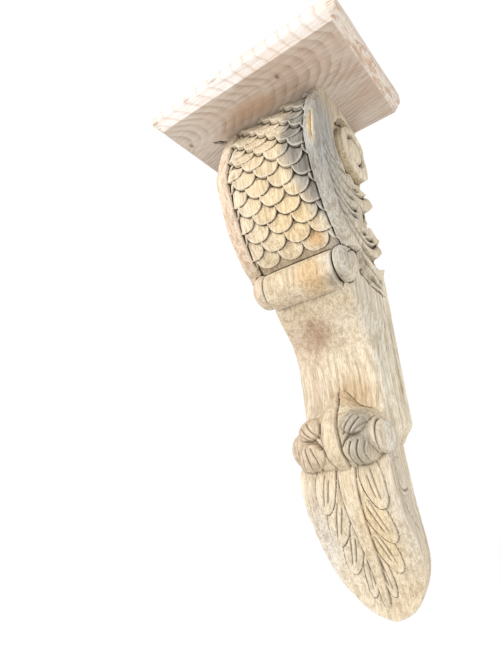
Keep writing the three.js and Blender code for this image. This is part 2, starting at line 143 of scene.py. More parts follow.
# Carving of the sides, over depth and drop: cut lines, and outlines of the rough sunk ground
GROUND_HALF = 58.0
FROND_CUTS = [
    [(117, 80), (110, 92), (98, 101), (85, 104), (67, 103)],
    [(120, 94), (110, 102.5), (93, 114), (75, 120), (53.5, 121.7), (30, 118), (13, 109), (2, 100)],
    [(121, 111), (109, 122.6), (94, 131), (76, 136), (57, 134)],
    [(117, 129), (102, 141), (84.6, 149.5), (66.5, 152), (53.5, 147.5)],
    [(117, 131), (108, 146.6), (89, 157), (71, 161), (56, 157)],
    [(110.5, 150), (97.5, 165), (77.7, 175), (59.5, 184), (43, 187), (22.4, 184), (3, 173)],
    [(104, 163), (88, 181), (72, 192), (52, 203), (30, 208), (12, 206)],
    [(57, 174), (48, 176), (38, 172)],
    [(44, 179), (31, 178), (17, 173)],
    [(54, 116), (45, 115), (33, 109)],
    [(60, 205), (44, 218), (24, 226), (8, 224)],
    [(57, 212), (42, 226), (26, 234), (12, 234)],
]
VOLUTE_GROUND = [
    (-6, 3), (25, 4), (49, 10), (66, 23), (80, 40), (89, 62), (87, 78), (80, 91), (66, 101),
    (56, 101), (50, 106), (46, 110), (44, 105), (30, 106), (14, 101), (2, 95), (-6, 94),
]
UPPER_FROND_GAP = [
    (-6, 117), (0, 119), (12, 129), (29, 137), (46.6, 135), (44, 144), (44, 155), (49, 168),
    (34, 162), (23, 159), (8, 165), (-6, 163),
]
LOWER_FROND_GAP = [
    (-6, 181), (5, 189), (16.4, 197), (30, 199.5), (48, 197), (60, 193), (52, 202), (34, 209),
    (14, 209), (-6, 203),
]

# Lower scroll and its knobs
SCROLL = (45.0, 405.0)
SCROLL_RADIUS = 20.0
SCROLL_HALF = 45.0
KNOB = (45.0, 407.0)
KNOB_RADIUS = 18.5
KNOB_START = 42.0
KNOB_CROWN = 48.0
KNOB_END = 59.0

# The leaf over the lower scroll: depth or half width against drop, then its strap and its lobes.
# Its left lobes are larger, so distances on that side are shortened.
LEAF_RIDGE = [(26, 343), (38, 356), (52, 370), (65, 386), (69, 401), (68, 416), (62, 429), (52, 438)]
LEAF_HALF = [
    (1.5, 343), (12, 356), (21, 367), (35, 374), (44, 384), (45, 402), (45, 416), (43, 429), (38, 438),
]
LEAF_END = 438.0
LEAF_BACK = 16.0
LEFT_SHARE = 0.87
STRAP_GROOVE_TOP = 356.0
STRAP_CENTRE = [(343, -4.5), (372, -4.5), (400, -2.5), (420, 0), (438, 5.5)]
STRAP_HALF = [(343, 0.5), (352, 3.5), (366, 7), (385, 9), (405, 9.5), (424, 9), (438, 6)]
LOBES = [((29.5, 387), (18.5, 14), 10.5, -0.4), ((28, 418), (18, 15), 9.0, 0.1)]
LOBE_CUTS = [
    ([(13, 400), (20, 391), (26, 382)], 1.0, 2.2),
    ([(16, 404), (24, 396), (32, 386)], 1.0, 2.4),
    ([(22, 402), (30, 396), (38, 391)], 0.9, 1.6),
    ([(12, 412), (16, 406), (24, 402.5), (34, 402), (42, 405)], 1.3, 5.0),
    ([(19, 433), (18, 422), (22, 410)], 1.0, 2.4),
    ([(27, 434), (26, 422), (29, 409)], 1.0, 2.4),
    ([(35, 431), (33, 421), (35, 411)], 0.9, 1.6),
]

# Tail: its midrib as drop and half width, its leaflets as tip, base, width and height, two veins
# in each, and on its side a small volute with a groove under it
CARVING_SHIFT = 5.5
RIB_HALF = [(428, 10.5), (465, 9.6), (505, 7.4), (545, 5.4), (575, 3.2)]
RIB_FADE = 560.0
RIB_END = 576.0
RIB_TIP_HALF = 0.5
LEAFLETS = [
    ((11.5, 562), (3, 512), 16, 2.4),
    ((26.5, 538), (7, 480), 24, 3.0),
    ((31.5, 509), (9, 450), 27, 3.3),
    ((32.5, 477), (21, 424), 26, 3.5),
]
VEINS = ((-0.30, 0.16, 0.72), (0.16, 0.10, 0.80))
VEIN_FADE = 0.12
TAIL_VOLUTE = (31.0, 447.0)
TAIL_VOLUTE_RADIUS = 14.5
TAIL_VOLUTE_EDGE = 18.6
TAIL_GROOVE = [(37, 470), (30, 481), (20, 495), (8, 512)]
NOTCH_BACK = 13.0
NOTCH_HALF = 51.5

def smoothstep(low, high, value):
    """Eases from 0 at low to 1 at high, and falls where low is the greater."""
    share = np.clip((value - low) / (high - low), 0.0, 1.0)
    return share * share * (3 - 2 * share)


def bell(value, width):
    """A smooth bump of height 1 at zero that dies away at about twice the width."""
    return np.exp(-(value / width) ** 2)


def round_max(a, b, radius):
    """The common part of two fields with its edge rounded."""
    lap = np.maximum(radius - np.abs(a - b), 0.0) / radius
    return np.maximum(a, b) + lap * lap * radius * 0.25


def round_min(a, b, radius):
    """Two fields joined with the corner between them filled."""
    return -round_max(-a, -b, radius)


def spline(stations, count):
    """A smooth line through stations, with so many points to each stretch."""
    points = np.array(stations, float)
    ends = np.vstack([2 * points[0] - points[1], points, 2 * points[-1] - points[-2]])
    result = []
    for index in range(len(points) - 1):
        a, b, c, d = ends[index:index + 4]
        for share in np.arange(count) / count:
            result.append(0.5 * (2 * b + (c - a) * share + (2 * a - 5 * b + 4 * c - d) * share ** 2
                                 + (3 * b - a - 3 * c + d) * share ** 3))
    result.append(points[-1])
    return np.array(result)


def along(line, across, down):
    """The distance to a line on a flat grid, and how far along the line the nearest place is."""
    best = np.full(across.shape, 1e9, np.float32)
    place = np.zeros(across.shape, np.float32)
    start = 0.0
    for (x0, y0), (x1, y1) in zip(line[:-1], line[1:]):
        dx, dy = x1 - x0, y1 - y0
        length = math.hypot(dx, dy)
        share = np.clip(((across - x0) * dx + (down - y0) * dy) / length ** 2, 0, 1)
        gap = np.hypot(across - x0 - share * dx, down - y0 - share * dy)
        nearer = gap < best
        best[nearer] = gap[nearer]
        place[nearer] = (start + share * length)[nearer]
        start += length
    return best, place


def inside(outline, across, down):
    """The signed distance to a closed outline on a flat grid, negative inside."""
    closed = np.vstack([outline, outline[:1]])
    gap, _ = along(closed, across, down)
    odd = np.zeros(across.shape, bool)
    for (x0, y0), (x1, y1) in zip(closed[:-1], closed[1:]):
        if y0 != y1:
            crossing = (down > min(y0, y1)) & (down <= max(y0, y1))
            odd ^= crossing & (across < x0 + (down - y0) * (x1 - x0) / (y1 - y0))
    return np.where(odd, -gap, gap)


def smooth_noise(shape, spacing, pitch, amount, seed):
    """A gentle random unevenness: random heights at a coarse spacing, eased to the full grid."""
    random = np.random.default_rng(seed)
    counts = [max(2, int(math.ceil(n * pitch / spacing)) + 1) for n in shape]
    field = random.uniform(-amount, amount, counts).astype(np.float32)
    for axis, n in enumerate(shape):
        position = np.linspace(0, counts[axis] - 1.001, n)
        low = position.astype(int)
        share = position - low
        share = (share * share * (3 - 2 * share)).astype(np.float32)
        form = [1] * len(shape)
        form[axis] = n
        share = share.reshape(form)
        field = np.take(field, low, axis) * (1 - share) + np.take(field, low + 1, axis) * share
    return field


def surface(field, axes):
    """A closed quad skin at the zero level of a signed field on a regular grid."""
    solid = field < 0
    count = np.zeros([n - 1 for n in field.shape], np.uint8)
    for corner in range(8):
        i, j, k = corner & 1, corner >> 1 & 1, corner >> 2
        count += solid[i:i + count.shape[0], j:j + count.shape[1], k:k + count.shape[2]]
    cells = np.argwhere((count > 0) & (count < 8)).astype(np.int32)
    number = np.full(count.shape, -1, np.int32)
    number[tuple(cells.T)] = np.arange(len(cells))
    total = np.zeros((len(cells), 3), np.float32)
    crossings = np.zeros(len(cells), np.float32)
    steps = np.eye(3, dtype=np.int32)
    for axis in range(3):
        others = [a for a in range(3) if a != axis]
        for side in range(4):
            offset = steps[others[0]] * (side & 1) + steps[others[1]] * (side >> 1)
            first = cells + offset
            second = first + steps[axis]
            f0 = field[tuple(first.T)]
            f1 = field[tuple(second.T)]
            cut = (f0 < 0) != (f1 < 0)
            share = np.where(cut, f0 / np.where(cut, f0 - f1, 1), 0)
            place = offset + share[:, None] * steps[axis]
            total += np.where(cut[:, None], place, 0)
            crossings += cut
    local = total / crossings[:, None]
    points = (cells + local) * (axes[0][1] - axes[0][0]) + np.array([a[0] for a in axes])
    quads = []
    for axis in range(3):
        u, v = [(1, 2), (2, 0), (0, 1)][axis]
        low = [slice(1, None)] * 3
        high = [slice(1, None)] * 3
        low[axis], high[axis] = slice(None, -1), slice(1, None)
        low_side, high_side = solid[tuple(low)], solid[tuple(high)]
        for flip in (False, True):
            edges = np.argwhere(low_side & ~high_side if not flip else high_side & ~low_side)
            edges[:, u] += 1
            edges[:, v] += 1
            corners = [edges, edges - steps[u], edges - steps[u] - steps[v], edges - steps[v]]
            if flip:
                corners = corners[::-1]
            inner = np.all([(c < count.shape).all(1) & (c >= 0).all(1) for c in corners], 0)
            quads.append(np.stack([number[tuple(c[inner].T)] for c in corners], 1))
    return points, np.vstack(quads)


def to_frame(points):
    """Frame metres from x, depth and drop."""
    return np.stack([points[:, 0], -points[:, 1], ORIGIN_DROP - points[:, 2]], 1) * 0.001


def make_mesh(name, points, quads, limit):
    """A mesh of at most so many triangles from a quad skin in frame metres."""
    mesh = bpy.data.meshes.new(name)
    mesh.vertices.add(len(points))
    mesh.vertices.foreach_set("co", points.astype(np.float32).ravel())
    mesh.loops.add(quads.size)
    mesh.loops.foreach_set("vertex_index", quads.astype(np.int32).ravel())
    mesh.polygons.add(len(quads))
    mesh.polygons.foreach_set("loop_start", np.arange(0, quads.size, 4, dtype=np.int32))
    mesh.update(calc_edges=True)
    mesh.validate()
    piece = bpy.data.objects.new(name, mesh)
    bpy.context.scene.collection.objects.link(piece)
    if 2 * len(quads) > limit:
        reduce = piece.modifiers.new("reduce", "DECIMATE")
        reduce.ratio = limit / (2 * len(quads))
        graph = bpy.context.evaluated_depsgraph_get()
        piece.data = bpy.data.meshes.new_from_object(piece.evaluated_get(graph))
        piece.modifiers.clear()
        piece.data.name = name
    piece.data.polygons.foreach_set("use_smooth", np.ones(len(piece.data.polygons), bool))
    return piece


def soften(values, radius):
    """A running mean over a cube."""
    result = values
    for axis in range(3):
        total = np.cumsum(result, axis, dtype=np.float32)
        n = result.shape[axis]
        high = np.minimum(np.arange(n) + radius, n - 1)
        low = np.arange(n) - radius - 1
        lower = np.take(total, np.maximum(low, 0), axis)
        form = [1, 1, 1]
        form[axis] = n
        lower = lower * (low >= 0).reshape(form)
        result = (np.take(total, high, axis) - lower) / (2 * radius + 1)
    return result


def mark_hollows(piece, field, axes, widths):
    """Writes how deep in a hollow each point of the surface lies, at several widths."""
    step = axes[0][1] - axes[0][0]
    co = np.zeros(len(piece.data.vertices) * 3, np.float32)
    piece.data.vertices.foreach_get("co", co)
    co = co.reshape(-1, 3) * 1000
    local = np.stack([co[:, 0], -co[:, 1], ORIGIN_DROP - co[:, 2]], 1)
    position = [(local[:, a] - axes[a][0]) / step for a in range(3)]
    filled = np.clip(0.5 - field / step, 0, 1).astype(np.float32)
    for name, width in widths:
        share = soften(filled, max(1, int(round(width / step))))
        low = [np.clip(np.floor(p).astype(int), 0, n - 2) for p, n in zip(position, share.shape)]
        part = [np.clip(p - q, 0, 1) for p, q in zip(position, low)]
        value = np.zeros(len(co))
        for corner in range(8):
            step_in = (corner & 1, corner >> 1 & 1, corner >> 2)
            weight = np.prod([w if k else 1 - w for w, k in zip(part, step_in)], axis=0)
            value += weight * share[tuple(q + k for q, k in zip(low, step_in))]
        attribute = piece.data.attributes.new(name, "FLOAT", "POINT")
        attribute.data.foreach_set("value", value.astype(np.float32))


def mark_cuts(piece, marks):
    """Writes where the cuts of the two sides run, clear of the front and of the wall, for the painted shade
    and dirt in them.
    """
    co = np.zeros(len(piece.data.vertices) * 3, np.float32)
    piece.data.vertices.foreach_get("co", co)
    x, y, z = co.reshape(-1, 3).T * 1000
    d = np.clip((-y - axis_d[0]) / GRID_STEP, 0, len(axis_d) - 1.001)
    r = np.clip((ORIGIN_DROP - z - axis_r[0]) / GRID_STEP, 0, len(axis_r) - 1.001)
    i, j = d.astype(int), r.astype(int)
    u, v = d - i, r - j
    value = (marks[i, j] * (1 - u) + marks[i + 1, j] * u) * (1 - v)
    value += (marks[i, j + 1] * (1 - u) + marks[i + 1, j + 1] * u) * v
    value *= smoothstep(48, 54, np.abs(x)) * smoothstep(2, 6, -y)
    attribute = piece.data.attributes.new("cuts", "FLOAT", "POINT")
    attribute.data.foreach_set("value", value.astype(np.float32))


def box_view(axes, low, high):
    """The part of a grid within a box, and its coordinates."""
    cuts = []
    for axis, a, b in zip(axes, low, high):
        cuts.append(slice(int(np.searchsorted(axis, a)), int(np.searchsorted(axis, b))))
    grids = np.meshgrid(*[axis[cut] for axis, cut in zip(axes, cuts)], indexing="ij", sparse=True)
    return tuple(cuts), grids


# Grid of the carved body: across from the middle, out from the wall and down from the board
GRID_HALF = 74
GRID_DEPTH = 144
GRID_DROP = 588
axis_x = np.arange(-GRID_HALF, GRID_HALF + GRID_STEP, GRID_STEP)
axis_d = np.arange(-3 * GRID_STEP, GRID_DEPTH, GRID_STEP)
axis_r = np.arange(-3 * GRID_STEP, GRID_DROP, GRID_STEP)
body_axes = (axis_x, axis_d, axis_r)
side_d, side_r = np.meshgrid(axis_d, axis_r, indexing="ij")

# Side outline of the body, and how far from the wall to the front each place lies
front_line = spline(FRONT, 6)
front_gap, front_place = along(front_line, side_d, side_r)
front_depth = np.interp(side_r, front_line[:, 1], front_line[:, 0])
profile = np.where(side_d > front_depth, front_gap, -front_gap)
lengths = np.concatenate([[0], np.cumsum(np.hypot(*np.diff(front_line, axis=0).T))])
depth_share = np.clip(side_d / np.maximum(front_depth, 1), 0, 1)

# Grid of the relief on the front: across, and along the front line from the board down
PLACE_STEP = 0.4
places = np.arange(0, lengths[-1], PLACE_STEP)
front_x, front_s = np.meshgrid(axis_x, places, indexing="ij")
front_r = np.interp(front_s, lengths, front_line[:, 1])


def lean_at(drop):
    """How far the tail leans towards +x at a drop."""
    share = np.clip((drop - TAIL_LEAN_START) / (BODY_HEIGHT - TAIL_LEAN_START), 0, 1)
    return TAIL_LEAN * share ** 1.3


def scale_relief():
    """The fish scales between the wings, each row overlapping the one below it."""
    crown = FIELD_CROWN * (1 - (front_x / FIELD_HALF) ** 2)
    end = np.interp(FIELD_END, front_line[:, 1], lengths) - SCALE_START
    relief = crown - FIELD_SINK + 0.2 + 2.4 * smoothstep(end - 4, end + 8, front_s)
    half = SCALE_WIDTH / 2
    random = np.random.default_rng(SEED)
    for row in range(SCALE_ROWS):
        tip = end - row * SCALE_PITCH
        stagger = SCALE_SHIFT + SCALE_DRIFT * row + (row % 2) * half
        column = np.round((front_x - stagger) / SCALE_WIDTH)
        number = column.astype(int) + SCALE_COLUMNS // 2
        uneven = random.uniform(-0.9, 0.9, SCALE_COLUMNS)[number]
        lean = random.uniform(-0.3, 0.3, SCALE_COLUMNS)[number] - FIRST_TILT - SCALE_TILT * row
        u = (front_x - stagger - column * SCALE_WIDTH) / half
        arc = tip + uneven + SCALE_PITCH * 1.05 * (np.maximum(1 - np.abs(u) ** 2.6, 0) ** 0.5 - 1)
        above = arc - front_s
        slope = SCALE_LIFT * (1 - np.clip(above / (SCALE_PITCH * 1.6), 0, 1)) + 0.7 * (1 - u ** 2)
        edge = smoothstep(0, 0.9, above)
        height = crown - FIELD_SINK - 0.6 + (slope + lean * u) * edge
        relief = np.where(above > 0, height, relief)
    return relief


def leaflet_relief():
    """The midrib and the overlapping leaflets of the tail."""
    leaned = front_x - CARVING_SHIFT
    relief = 0.9 * (1 - (leaned / TAIL_HALF) ** 2)
    margin = np.abs(leaned)
    for tip, base, width, proud in LEAFLETS:
        way = np.array(base, float) - np.array(tip, float)
        reach = float(np.hypot(*way))
        way /= reach
        dx, dr = margin - tip[0], front_r - tip[1]
        up = dx * way[0] + dr * way[1]
        out = dx * -way[1] + dr * way[0]
        part = up / reach
        half = width / 2 * np.sin(math.pi / 2 * np.clip(up / (reach * 0.62), 0, 1) ** 0.5)
        half = half * (1 - 0.25 * smoothstep(0.6, 1.0, part))
        gap = half - np.abs(out)
        lift = proud * (1 - 0.55 * np.clip(part, 0, 1))
        swell = lift + 0.9 * (1 - np.clip(np.abs(out) / np.maximum(half, 1), 0, 1) ** 2)
        height = -0.6 + swell * smoothstep(0, 1.9, np.minimum(gap, up))
        for share_out, first, last in VEINS:
            line = np.abs(out - share_out * half * 0.9)
            span = smoothstep(first, first + VEIN_FADE, part)
            span = span * (1 - smoothstep(last - VEIN_FADE, last, part))
            height = height - 1.9 * bell(line, 1.15) * span
        relief = np.where((gap > 0) & (up > 0), height, relief)
    rib = np.interp(front_r, *np.transpose(RIB_HALF))
    rib = np.where(front_r > RIB_END, RIB_TIP_HALF, rib)
    gap = rib - margin
    crest = 3.4 * smoothstep(0, 1.5, gap) + 0.8 * np.clip(gap / rib, 0, 1)
    crest = crest * (1 - smoothstep(RIB_FADE, RIB_FADE + 18, front_r))
    relief = np.where(gap > 0, 0.2 + crest, relief)
    return relief - 1.0 * bell(margin - rib - 0.8, 1.1) * smoothstep(RIB_FADE + 14, RIB_FADE, front_r)


def front_relief():
    """How far the front stands out from the side outline: field and wings, shaft, then tail."""
    shaft = 0.8 * (1 - (front_x / SHAFT_FRONT_HALF) ** 2).clip(0, 1)
    step = smoothstep(FIELD_HALF - 0.5, FIELD_HALF + 1.2, np.abs(front_x))
    wing = 0.9 * np.clip(1 - ((np.abs(front_x) - WING_CREST) / WING_CREST_HALF) ** 2, -1, 1)
    cut = 1.8 * bell(np.abs(front_x) - FIELD_HALF + 1.2, 1.2)
    upper = (scale_relief() - cut) * (1 - step) + wing * step
    gouge = 1.8 * bell(front_x - GOUGE_X - 1.2 * np.sin((front_r - 40) / 30), 1.6)
    gouge = gouge * smoothstep(GOUGE_TOP, GOUGE_TOP + 10, front_r)
    upper = upper - gouge * (1 - smoothstep(GOUGE_END - 14, GOUGE_END, front_r))
    relief = np.where(front_r < FIELD_END + 2, upper, shaft)
    return np.where(front_r > TAIL_TOP, leaflet_relief(), relief).astype(np.float32)


def frond_half():
    """Half width of the sides with their fronds, and a mark that is near 1 in the cuts."""
    proud = FROND_PROUD * smoothstep(FROND_TOP, FROND_TOP + 22, side_r)
    back = WING_BACK_HALF + proud * smoothstep(FROND_END, FROND_END - 14, side_r)
    half = back + (WING_HALF - back) * smoothstep(0.0, 0.5, depth_share)
    nearest = np.full(side_d.shape, 1e9)
    for line in FROND_CUTS:
        gap, _ = along(spline(line, 6), side_d, side_r)
        nearest = np.minimum(nearest, gap)
    half = half + 1.4 - 2.8 * bell(nearest, 4.2) - 3.8 * bell(nearest, 1.8)
    uneven = smooth_noise(side_d.shape, 4.0, GRID_STEP, 1.1, SEED + 1)
    wander = smooth_noise(side_d.shape, 6.0, GRID_STEP, 1.6, SEED + 2)
    gap = inside(spline(VOLUTE_GROUND, 4), side_d, side_r) + wander
    half = half + (GROUND_HALF + uneven - half) * smoothstep(1.2, -1.2, gap)
    mark = np.maximum(bell(nearest, 1.9) * (gap > 0), 0.55 * bell(gap + 1.6, 1.2))
    pocket = 3.0 * smoothstep(8, 22, side_d)
    gaps = ((UPPER_FROND_GAP, GROUND_HALF - 1, -3, -14), (LOWER_FROND_GAP, GROUND_HALF, -2, -12))
    for outline, ground, darkest, pale in gaps:
        gap = inside(spline(outline, 4), side_d, side_r)
        half = half + (ground - pocket + uneven - half) * smoothstep(1.0, -1.0, gap)
        mark = np.maximum(mark, smoothstep(0.8, darkest, gap) * smoothstep(pale, darkest, gap))
    return half, mark


def upper_half():
    """The same with the volute standing on the ground under the board."""
    half, mark = frond_half()
    dd, dr = side_d - VOLUTE[0], side_r - VOLUTE[1]
    radius = np.hypot(dd, dr)
    angle = np.arctan2(dr, dd)
    rise = np.maximum(0, -dr / np.maximum(radius, 1))
    outer = VOLUTE_RADIUS + (VOLUTE_TOP_RADIUS - VOLUTE_RADIUS) * rise
    middle = (outer + BUTTON_RADIUS) / 2
    band = VOLUTE_HALF - 1.6 * ((radius - middle) / (outer - middle)) ** 2
    button = BUTTON_HALF - 1.4 * (radius / BUTTON_RADIUS) ** 4
    volute = np.where(radius < BUTTON_RADIUS, button, band)
    deep = 4.4 + 4.6 * smoothstep(-0.4, 0.6, np.cos(angle - 0.9))
    wide = 1.7 + 1.7 * smoothstep(0.1, 0.9, np.cos(angle - 1.2))
    off_ring = radius - BUTTON_RADIUS - 1.0
    gap, _ = along(spline(VOLUTE_HOOK, 6), side_d, side_r)
    volute = volute - deep * bell(off_ring, wide) - 5.0 * bell(gap, 2.1)
    ring = np.maximum(0.9 * bell(off_ring, 0.75 * wide), bell(gap, 1.7))
    foot = 0.8 * bell(radius - outer - 1.2, 1.3)
    mark = np.where(radius < outer, ring, np.maximum(mark, foot))
    return half + (volute - half) * smoothstep(0.8, -0.8, radius - outer), mark


def shaft_half():
    """Half width of the shaft, wider at the wall, with a soft line and a fine one down its side."""
    narrow = smoothstep(SHAFT_END - 20, SHAFT_END, side_r)
    back = SHAFT_BACK_HALF + (TAIL_HALF - 1 - SHAFT_BACK_HALF) * narrow
    half = back + (SHAFT_FRONT_HALF - back) * depth_share
    line = np.interp(side_r, *np.transpose(SHAFT_LINE))
    gap = (depth_share - line) * front_depth
    half = half + 1.3 * smoothstep(3.0, -4.0, gap) - 0.3 * bell(gap - 1.0, 2.0)
    half = half + 0.9 * bell(depth_share - line * 0.55, 0.2)
    return half - 0.7 * bell((depth_share - line * 0.28) * front_depth, 0.8)


def tail_half():
    """Half width of the tail, rounded to its tip, with the small volute at the top of its side."""
    share = np.clip((side_r - (BODY_HEIGHT - TAIL_ROUND)) / TAIL_ROUND, 0, 1)
    half = TAIL_HALF * np.maximum(0, 1 - share ** 3) ** (0.87 - 0.2 * smoothstep(0.6, 0.95, share))
    half = half - 0.9 * smoothstep(0.45, 0.0, depth_share) * (share < 0.9)
    gap, place = along(spline(TAIL_GROOVE, 6), side_d, side_r)
    half = half - 2.2 * bell(gap, 1.4) * smoothstep(0, 4, place)
    dd, dr = side_d - TAIL_VOLUTE[0], side_r - TAIL_VOLUTE[1]
    radius = np.hypot(dd, dr)
    angle = np.arctan2(dr, dd)
    around = smoothstep(18.0, 19.6, radius) * smoothstep(50, 44, side_d) * smoothstep(512, 470, side_r)
    cut = 2.6 * bell(radius - TAIL_VOLUTE_RADIUS, 1.1) * smoothstep(-0.25, 0.5, np.cos(angle - 0.9))
    half = half - 1.6 * around - cut + 1.0 * smoothstep(TAIL_VOLUTE_RADIUS, 8.0, radius)
    top = TAIL_VOLUTE[1] - np.sqrt(np.maximum(TAIL_VOLUTE_EDGE ** 2 - dd ** 2, 0))
    top = np.where(dd > 0, TAIL_VOLUTE[1] - TAIL_VOLUTE_EDGE, top)
    notch = (side_r < top) & (side_d >= NOTCH_BACK)
    return np.where(notch, np.minimum(half, NOTCH_HALF), half)


def side_half():
    """Half width of the whole body over depth and drop, and the marks of its side cuts."""
    end_drop = np.interp(side_d, *np.transpose(SIDE_END))
    lower = smoothstep(-0.8, 0.8, side_r - end_drop)
    wing_half, mark = upper_half()
    half = wing_half * (1 - lower) + shaft_half() * lower
    tail_share = smoothstep(SHAFT_END - 1, SHAFT_END + 1, side_r)
    half = half * (1 - tail_share) + tail_half() * tail_share
    return half.astype(np.float32), (mark * (1 - lower)).astype(np.float32)


def add_roll(body):
    """Joins the upper roll with its end caps to the field of the body."""
    cut, (x, d, r) = box_view(body_axes, *ROLL_BOX)
    far = np.abs(x - ROLL_SHIFT)
    rise = CAP_RISE * smoothstep(ROLL_HALF - 1, ROLL_HALF + 1, far)
    around = np.hypot(d - ROLL[0], r - ROLL[1] + rise)
    swell = np.clip((far - CAP_CROWN) / (CAP_END - CAP_CROWN), 0, 1)
    neck = 1.0 * smoothstep(CAP_CROWN, CAP_CROWN - 5, far)
    cap_radius = CAP_RADIUS * np.maximum(1 - swell ** 2.2, 0) ** 0.55 - neck
    roll_radius = ROLL_RADIUS - 0.5 * (far / ROLL_HALF) ** 2
    radius = np.where(far < ROLL_HALF, roll_radius, cap_radius) - 3.8 * bell(far - ROLL_HALF, 1.2)
    roll = np.maximum(around - radius, far - CAP_END)
    flat_d, flat_r = np.meshgrid(axis_d[cut[1]], axis_r[cut[2]], indexing="ij")
    gap, _ = along(spline(np.array(CAP_HOOK) + ROLL, 6), flat_d, flat_r)
    roll = roll + 3.4 * bell(gap[None], 1.3) * smoothstep(CAP_CROWN, CAP_CROWN + 6, far)
    below = smoothstep(ROLL[1] + 4, ROLL[1] + 12, r)
    blend = 0.8 + 1.7 * below * smoothstep(ROLL_HALF + 4, ROLL_HALF - 4, np.abs(x))
    body[cut] = round_min(body[cut], roll.astype(np.float32), blend.astype(np.float32))


def lobe(far, drop, place, reach, height, lean):
    """The height of a rounded, leaned lobe of the leaf."""
    dx, dr = far - place[0], drop - place[1]
    lengthwise = dx * math.cos(lean) + dr * math.sin(lean)
    crosswise = -dx * math.sin(lean) + dr * math.cos(lean)
    inner = 1 - (lengthwise / reach[0]) ** 2 - (crosswise / reach[1]) ** 2
    return height * np.maximum(inner, 0) ** 0.5


def leaf_relief(x, drop):
    """The depth of the leaf's face, its half width, and the distance from its middle."""
    far = np.abs(x) * np.where(x < 0, LEFT_SHARE, 1.0)
    ridge_line = spline(LEAF_RIDGE, 5)
    half_line = spline(LEAF_HALF, 5)
    ridge_depth = np.interp(drop, ridge_line[:, 1], ridge_line[:, 0])
    half = np.interp(drop, half_line[:, 1], half_line[:, 0])
    shaft_depth = np.interp(drop, front_line[:, 1], front_line[:, 0]) - 2
    share = np.clip(far / np.maximum(half, 1), 0, 1)
    depth = shaft_depth + (ridge_depth - shaft_depth) * (1 - share ** 2.4) ** 0.5
    depth = depth + np.maximum(*[lobe(far, drop, *form) for form in LOBES])
    for stations, width, deep in LOBE_CUTS:
        gap, _ = along(spline(stations, 5), far, drop)
        depth = depth - deep * bell(gap, width)
    strap_half = np.interp(drop, *np.transpose(STRAP_HALF))
    off_strap = np.abs(x - np.interp(drop, *np.transpose(STRAP_CENTRE)))
    strap_gap = strap_half - off_strap
    bend = 1 - np.clip(off_strap / strap_half, 0, 1) ** 2
    depth = depth + (2.6 + 2.6 * bend) * smoothstep(0, 1.2, strap_gap)
    depth = depth - 1.6 * bell(strap_gap + 0.9, 1.0) * (drop > STRAP_GROOVE_TOP)
    return depth, half, far


def add_scroll(body):
    """Joins the lower scroll to the field of the body: its core, its knobs and its leaf."""
    cut, (x, d, r) = box_view(body_axes, *SCROLL_BOX)
    far = np.abs(x)
    core = np.maximum(np.hypot(d - SCROLL[0], r - SCROLL[1]) - SCROLL_RADIUS, far - SCROLL_HALF)
    around = np.hypot(d - KNOB[0], r - KNOB[1])
    swell = np.clip((far - KNOB_CROWN) / (KNOB_END - KNOB_CROWN), 0, 1)
    neck = 1.8 * smoothstep(KNOB_CROWN + 1, KNOB_START, far)
    knob_radius = KNOB_RADIUS * np.maximum(1 - swell ** 2.3, 0) ** 0.5 - neck
    knob = np.maximum(around - knob_radius, np.maximum(far - KNOB_END, KNOB_START - far))
    flat_x, flat_r = np.meshgrid(axis_x[cut[0]], axis_r[cut[2]], indexing="ij")
    leaf_depth, leaf_half, leaf_far = leaf_relief(flat_x, flat_r)
    leaf = np.maximum((d - leaf_depth[:, None, :]) * 0.8, (leaf_far - leaf_half)[:, None, :] * 0.9)
    leaf = np.maximum(np.maximum(leaf, r - LEAF_END), LEAF_BACK - d)
    scroll = round_min(np.minimum(core, leaf), knob, 0.6)
    blend = 1.0 + 2.5 * smoothstep(SCROLL[1] - 3, SCROLL[1] - 25, r)
    body[cut] = round_min(body[cut], scroll.astype(np.float32), blend.astype(np.float32))


def carved_field():
    """The signed field of the carved body, and the marks of its side cuts."""
    half, mark = side_half()
    relief = front_relief()
    place_index = np.clip(np.round(front_place / PLACE_STEP).astype(int), 0, len(places) - 1)
    body = profile.astype(np.float32)[None] - relief[:, place_index]
    across = np.abs(axis_x[:, None, None] - lean_at(axis_r)[None, None]).astype(np.float32)
    in_wings = side_r < WING_END
    edge = np.where(side_r < TAIL_TOP, SHAFT_EDGE_ROUND, TAIL_EDGE_ROUND)
    edge = np.where(in_wings, WING_EDGE_ROUND, edge)
    left_wing = ((axis_x[:, None, None] < 0) & in_wings[None]).astype(np.float32)
    edge = edge.astype(np.float32)[None] - 5.0 * left_wing
    body = round_max(body, across - half[None] - 1.6 * left_wing, edge)
    del left_wing, edge
    body += smooth_noise(body.shape, 22.0, GRID_STEP, 0.45, SEED + 3)
    body += smooth_noise(body.shape, 7.0, GRID_STEP, 0.24, SEED + 4)
    add_roll(body)
    add_scroll(body)
    body = np.maximum(body, -side_d.astype(np.float32)[None])
    body = np.maximum(body, -side_r.astype(np.float32)[None])
    body = np.maximum(body, side_r.astype(np.float32)[None] - BODY_HEIGHT)
    body[0], body[-1] = 1, 1
    return body, mark


# Carved body
body, side_mark = carved_field()
points, quads = surface(body, body_axes)
carved_body = make_mesh("carved_body", to_frame(points), quads[:, ::-1], BODY_TRIANGLES)
mark_hollows(carved_body, body, body_axes, HOLLOW_WIDTHS)
mark_cuts(carved_body, side_mark)
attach(carved_body, "root")
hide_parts("carved_corbel")
del body


